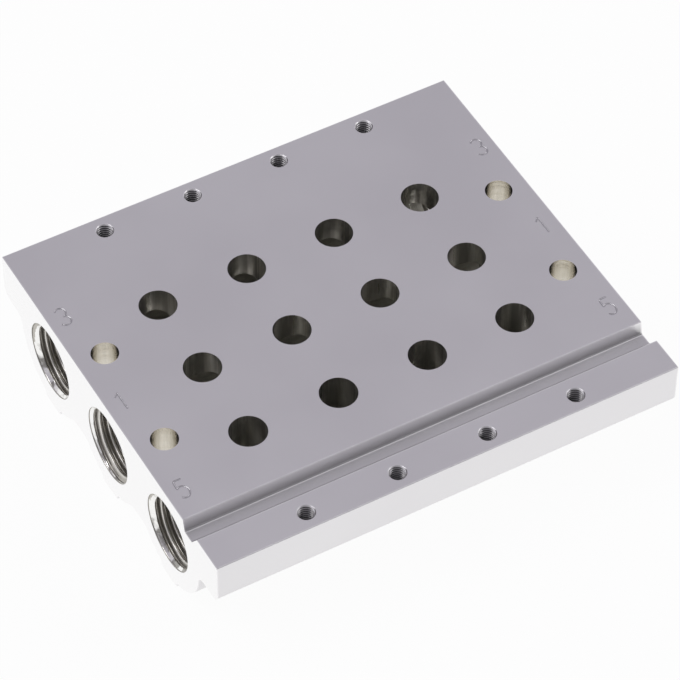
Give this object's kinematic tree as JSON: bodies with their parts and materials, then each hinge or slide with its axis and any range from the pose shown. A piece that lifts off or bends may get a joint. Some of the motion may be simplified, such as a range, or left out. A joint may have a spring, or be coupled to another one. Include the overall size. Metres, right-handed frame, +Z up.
{
  "type": "air manifold block",
  "caption": "Extruded aluminium manifold block with parallel air channels, threaded end ports, and rows of valve ports and screw holes on its flat top.",
  "frame": {"origin": "middle of the block, on the plane of its feet", "axes": "+X along the extrusion and its air channels, +Y across it away from the grooved ledge, +Z up out of the valve face"},
  "size_m": [0.082, 0.0724, 0.02],
  "materials": {
    "anodised_aluminium": "satin clear anodised extrusion, machined ends"
  },
  "bodies": {
    "root": {"manifold_block": "anodised_aluminium"}
  },
  "joints": []
}
